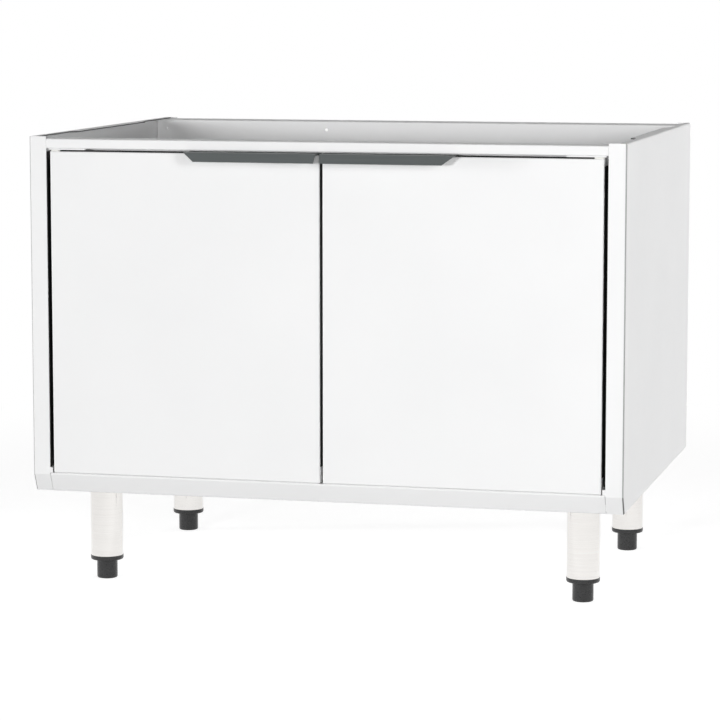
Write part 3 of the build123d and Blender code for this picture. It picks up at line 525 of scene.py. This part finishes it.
BRACKET_SCREW_Y = FRONT + 0.012
BRACKET_SCREWS_X = (0.332, 0.350)
BRACKET_SCREW_LENGTH = 0.0031
screw_places = [
    (side * x, BRACKET_SCREW_Y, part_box(f"left_{level}_pivot_bracket")[0][2])
    for side in (-1, 1) for level in ("top", "bottom") for x in BRACKET_SCREWS_X
]
repeated("bracket_screws", countersunk("bracket_screw", BRACKET_SCREW_LENGTH), screw_places,
         (math.pi, 0, 0), math.pi / 2, "carcass", zinc, "zinc_steel", "pivot_bracket_screws")
PAN_TOP = 0.0013
PAN_HEAD = [(0, PAN_TOP), (0.0016, 0.0012), (0.0025, 0.0008), (0.0028, 0), (0.0015, 0),
            (0.0015, -0.0139), (0, -0.0139)]
CATCH_X = 0.055
CATCH_EAR = 0.013         # from the catch's middle to a screw
CATCH_SCREW_Z = BASE + 0.4535
catch_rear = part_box("left_magnetic_catch")[1][1]
catch_places = [
    (side * CATCH_X + edge * CATCH_EAR, catch_rear, CATCH_SCREW_Z)
    for side in (-1, 1) for edge in (-1, 1)
]
repeated("catch_pan_screws", cross_screw("catch_screw", PAN_HEAD, PAN_TOP), catch_places,
         (-math.pi / 2, 0, 0), math.pi / 2, "carcass", zinc, "zinc_steel", "catch_screws")
PULL_SCREWS_X = (0.030, 0.095, 0.160)
PULL_SCREW_Y = FRONT + 0.009
PULL_SCREW_LENGTH = 0.0062
for hand, side in (("left", -1), ("right", 1)):
    pull_places = [(side * x, PULL_SCREW_Y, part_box("left_pull")[1][2]) for x in PULL_SCREWS_X]
    repeated(f"{hand}_pull_cross_screws", countersunk(f"{hand}_pull_screw", PULL_SCREW_LENGTH),
             pull_places, (0, 0, 0), math.pi / 2, f"{hand}_door", zinc, "zinc_steel",
             f"{hand}_pull_screws")

# Magnet poles
# Each catch shows the edges of two steel plates, pressed into its moulding on either side of the
# magnet. They guide the magnet's pull to the door's strike plate.

POLE_LEVELS = (0.0040, 0.0105)
POLE_SIZE = (0.029, 0.0020, 0.0018)
POLE_INSET = 0.0009       # from the catch's nose to the middle of a pole


def bar(build, middle, size):
    """Adds a square bar of this size about its middle."""
    for vertex in bmesh.ops.create_cube(build, size=1.0)["verts"]:
        vertex.co = [at + share * length for at, share, length in zip(middle, vertex.co, size)]


for hand, side in (("left", -1), ("right", 1)):
    nose_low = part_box(f"{hand}_magnetic_catch")[0]
    build = bmesh.new()
    for level in POLE_LEVELS:
        bar(build, (side * CATCH_X, nose_low[1] + POLE_INSET, nose_low[2] + level), POLE_SIZE)
    bmesh.ops.bevel(build, geom=build.edges[:], offset=0.0003, segments=2, affect="EDGES")
    plain(f"{hand}_magnet_poles", build, "carcass", zinc, "zinc_steel")

# Pivot brackets and hinge pins
# Small steel brackets, powder-coated like the carcass, hold a pin over and under each door. The
# pins and the doors' strike plates are zinc-plated.

for hand in ("left", "right"):
    coat(powder_coat, f"{hand}_top_pivot_bracket", f"{hand}_bottom_pivot_bracket")
    coat(zinc, f"{hand}_top_hinge_pin", f"{hand}_bottom_hinge_pin", f"{hand}_strike_plate")

# Seals
# Black rubber strip, stuck to the stiles and to the doors' edges. It is matt, with a dusty bloom
# that makes it a shade paler in places.

rubber, tree, shader, place = surface("black_rubber")
shades(tree, grain(tree, place, 120), (0.006, 0.006, 0.006), (0.011, 0.011, 0.011), shader)
spread(tree, grain(tree, place, 400), 0.6, 0.75, shader)
relief(tree, grain(tree, place, 1500), 0.00002, 0.3, shader)
coat(rubber, "left_door_edge_seals", "right_door_edge_seals")

# Stile seals
# The strips on the stiles fill the gap's whole height, from the toe to the bracket, with three fine
# ribs towards the door. The fin behind the door is cut back below the bracket.

SEAL_TOE = BASE + 0.0335
SEAL_HEAD = BASE + 0.4570
FIN_HEAD = BASE + 0.4480
RIB_PITCH = 0.003
RIB_HIGH = -0.0008
RIB_LOW = -0.0005
HOOK_OUT = 0.0015         # the strip hooks this far out behind the stile's return
HOOK_START = 0.02005      # back from the front, just past the return's edge


def prism(build, outline, bottom, top):
    """Adds an upright prism on this outline."""
    ends = [[build.verts.new((x, y, z)) for x, y in outline] for z in (bottom, top)]
    build.faces.new(ends[0])
    build.faces.new(ends[1])
    for index in range(len(outline)):
        following = (index + 1) % len(outline)
        build.faces.new((ends[0][index], ends[0][following], ends[1][following], ends[1][index]))


for hand, side in (("left", -1), ("right", 1)):
    low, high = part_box(f"{hand}_stile_seal")
    face = max(abs(low[0]), abs(high[0])) - HOOK_OUT
    rear = high[1]
    ribs = [
        (RIB_HIGH if count % 2 else RIB_LOW, FRONT + 0.0022 + RIB_PITCH * count)
        for count in range(6)
    ]
    strip = [(0, FRONT + 0.0015), (RIB_HIGH, FRONT + 0.0015)] + ribs + [
        (RIB_HIGH, rear), (HOOK_OUT, rear), (HOOK_OUT, FRONT + HOOK_START),
        (0, FRONT + HOOK_START),
    ]
    fin = [(-0.0004, rear - 0.0014), (-0.0080, rear - 0.0012), (-0.0080, rear - 0.0002),
           (-0.0004, rear - 0.0002)]
    build = bmesh.new()
    prism(build, [(side * (face + x), y) for x, y in strip], SEAL_TOE, SEAL_HEAD)
    prism(build, [(side * (face + x), y) for x, y in fin], SEAL_TOE, FIN_HEAD)
    plain(f"{hand}_gap_seal", build, "carcass", rubber, "black_rubber", f"{hand}_stile_seal")

# Doors
# Each door is a folded outer tray with an inner pan set into it, powder-coated white like the
# carcass and hung on pins near its outer corners.

coat(powder_coat, "left_door_skin", "right_door_skin", "left_door_liner", "right_door_liner")

# Bushes
# Plain bearings of natural nylon, milky and slightly waxy, pressed into the doors' edges for the
# hinge pins.

nylon, tree, shader, place = surface("natural_nylon")
shades(tree, grain(tree, place, 200), (0.70, 0.70, 0.66), (0.76, 0.76, 0.73), shader)
spread(tree, grain(tree, place, 500), 0.4, 0.5, shader)
for hand in ("left", "right"):
    coat(nylon, f"{hand}_door_top_bush", f"{hand}_door_bottom_bush")

# Ledge strips
# A slim white glide bead on the ledge's front edge under each door, so that no dark gap shows
# there. It is 2.3 mm deep, and passes in front of the door's bottom bush.

white_strip, tree, shader, place = surface("white_glide_strip")
shades(tree, grain(tree, place, 250), (0.84, 0.84, 0.84), (0.88, 0.88, 0.88), shader)
spread(tree, grain(tree, place, 400), 0.5, 0.6, shader)
LEDGE_TOP = BASE + 0.0256
GLIDE_X = 0.1868
GLIDE_INSET = 0.00145     # from the front to the bead's middle
GLIDE_LIFT = 0.00030      # from the ledge to the bead's middle
GLIDE_SIZE = (0.3664, 0.0023, 0.00058)
for hand, side in (("left", -1), ("right", 1)):
    build = bmesh.new()
    bar(build, (side * GLIDE_X, FRONT + GLIDE_INSET, LEDGE_TOP + GLIDE_LIFT), GLIDE_SIZE)
    bmesh.ops.bevel(build, geom=build.edges[:], offset=0.0001, segments=2, affect="EDGES")
    plain(f"{hand}_ledge_strip", build, "carcass", white_strip, "nylon")

# Pulls
# Folded aluminium strip, brushed along its length and anodised dark grey. It is screwed to the
# door's top edge from above.

anodised, tree, shader, place = surface("dark_anodised")
brushing = grain(tree, place, 300, stretch=(0.03, 1, 1), detail=3)
shades(tree, brushing, (0.080, 0.090, 0.090), (0.096, 0.106, 0.106), shader)
spread(tree, brushing, 0.36, 0.46, shader)
relief(tree, brushing, 0.00002, 0.25, shader)
coat(anodised, "left_pull", "right_pull")

# Studio
# The photograph's long lens stands to the right and looks slightly down. Lamps stand at the left,
# by the camera, at the right and behind. Metal mirrors the white backdrop that the camera sees.

CAMERA_PLACE = (0.98596, -4.02464, 0.81056)
CAMERA_TURN = 14.01
CAMERA_PITCH = 7.171
LENS = 149.24
camera_data = bpy.data.cameras.new("camera")
camera_data.lens = LENS
camera_data.sensor_width = 36.0
camera = bpy.data.objects.new("camera", camera_data)
camera.location = CAMERA_PLACE
camera.rotation_euler = (math.radians(90 - CAMERA_PITCH), 0, math.radians(CAMERA_TURN))
scene = bpy.context.scene
scene.collection.objects.link(camera)
scene.camera = camera


def softbox(name, place, aim, size, power):
    """A broad rectangular lamp at a place, turned towards a point."""
    lamp = bpy.data.lights.new(name, "AREA")
    lamp.shape = "RECTANGLE"
    lamp.size, lamp.size_y = size
    lamp.energy = power
    stand = bpy.data.objects.new(name, lamp)
    stand.location = place
    stand.rotation_euler = (Vector(aim) - Vector(place)).to_track_quat("-Z", "Z").to_euler()
    stand.visible_glossy = False
    stand.visible_camera = False
    scene.collection.objects.link(stand)


MIDDLE = (0.0, 0.0, 0.35)
softbox("key", (-2.06, -7.70, 1.05), MIDDLE, (1.8, 0.5), 252)
softbox("camera_side", (2.06, -7.70, 1.05), MIDDLE, (1.8, 0.5), 81.5)
softbox("left_wall", (-7.72, -2.07, 0.63), MIDDLE, (1.8, 0.5), 434.5)
softbox("near_right", (1.84, -2.12, 1.00), MIDDLE, (1.0, 0.5), 21.8)
softbox("low_front", (1.0, -2.2, 0.15), MIDDLE, (1.2, 0.4), 1.45)
softbox("right_wall", (5.04, 1.87, 0.2), MIDDLE, (1.6, 0.5), 60)
softbox("rear_wall", (3.61, 3.83, 0.2), MIDDLE, (1.6, 0.5), 203.5)

floor_mesh = bpy.data.meshes.new("floor")
FLOOR_REACH = 30.0
floor_corners = [
    (x * FLOOR_REACH, y * FLOOR_REACH, 0) for x, y in ((-1, -1), (1, -1), (1, 1), (-1, 1))
]
floor_mesh.from_pydata(floor_corners, [], [(0, 1, 2, 3)])
floor = bpy.data.objects.new("floor", floor_mesh)
scene.collection.objects.link(floor)


def backdrop_rays(tree):
    """1 for rays that see the white backdrop: the camera's, and those off metal or in glass."""
    rays = tree.nodes.new("ShaderNodeLightPath")
    carried = reckon(tree, "MAXIMUM", rays.outputs["Is Glossy Ray"],
                     rays.outputs["Is Transmission Ray"])
    return reckon(tree, "MAXIMUM", rays.outputs["Is Camera Ray"], carried)


# Near the object the floor keeps its shadow, and further out it fades to plain white
FLOOR_NEAR = 0.75
FLOOR_FAR = 1.7
FLOOR_MATT = (0.545, 0.545, 0.545, 1)       # what lights the object from below
FLOOR_SHOWN = (0.55, 0.55, 0.55, 1)         # what the shadow falls on
FLOOR_GLOW = 0.84                           # lifts the floor that is seen to white
floor_coat = bpy.data.materials.new("studio_floor")
floor_coat.use_nodes = True
tree = floor_coat.node_tree
tree.nodes.clear()
output = tree.nodes.new("ShaderNodeOutputMaterial")
matt = tree.nodes.new("ShaderNodeBsdfDiffuse")
matt.inputs["Color"].default_value = FLOOR_MATT
shown = tree.nodes.new("ShaderNodeBsdfDiffuse")
shown.inputs["Color"].default_value = FLOOR_SHOWN
glow = tree.nodes.new("ShaderNodeEmission")
glow.inputs["Strength"].default_value = FLOOR_GLOW
near = tree.nodes.new("ShaderNodeAddShader")
far = tree.nodes.new("ShaderNodeEmission")
position = tree.nodes.new("ShaderNodeTexCoord")
distance = tree.nodes.new("ShaderNodeVectorMath")
distance.operation = "LENGTH"
fade = tree.nodes.new("ShaderNodeMapRange")
fade.interpolation_type = "SMOOTHSTEP"
fade.inputs["From Min"].default_value = FLOOR_NEAR
fade.inputs["From Max"].default_value = FLOOR_FAR
seen = tree.nodes.new("ShaderNodeMixShader")
direct = tree.nodes.new("ShaderNodeMixShader")
link = tree.links.new
link(shown.outputs[0], near.inputs[0])
link(glow.outputs[0], near.inputs[1])
link(position.outputs["Object"], distance.inputs[0])
link(distance.outputs["Value"], fade.inputs["Value"])
link(fade.outputs["Result"], seen.inputs["Fac"])
link(near.outputs[0], seen.inputs[1])
link(far.outputs[0], seen.inputs[2])
link(backdrop_rays(tree), direct.inputs["Fac"])
link(matt.outputs[0], direct.inputs[1])
link(seen.outputs[0], direct.inputs[2])
link(direct.outputs[0], output.inputs["Surface"])
floor.data.materials.append(floor_coat)

AMBIENT = 0.02            # the little light that comes from everywhere
world = bpy.data.worlds.new("studio")
world.use_nodes = True
scene.world = world
tree = world.node_tree
tree.nodes.clear()
link = tree.links.new
output = tree.nodes.new("ShaderNodeOutputWorld")
ambient = tree.nodes.new("ShaderNodeBackground")
ambient.inputs["Color"].default_value = (1, 1, 1, 1)
ambient.inputs["Strength"].default_value = AMBIENT
backdrop = tree.nodes.new("ShaderNodeBackground")
backdrop.inputs["Color"].default_value = (1, 1, 1, 1)
seen = tree.nodes.new("ShaderNodeMixShader")
link(backdrop_rays(tree), seen.inputs["Fac"])
link(ambient.outputs[0], seen.inputs[1])
link(backdrop.outputs[0], seen.inputs[2])
link(seen.outputs[0], output.inputs["Surface"])

scene.view_settings.view_transform = "Standard"
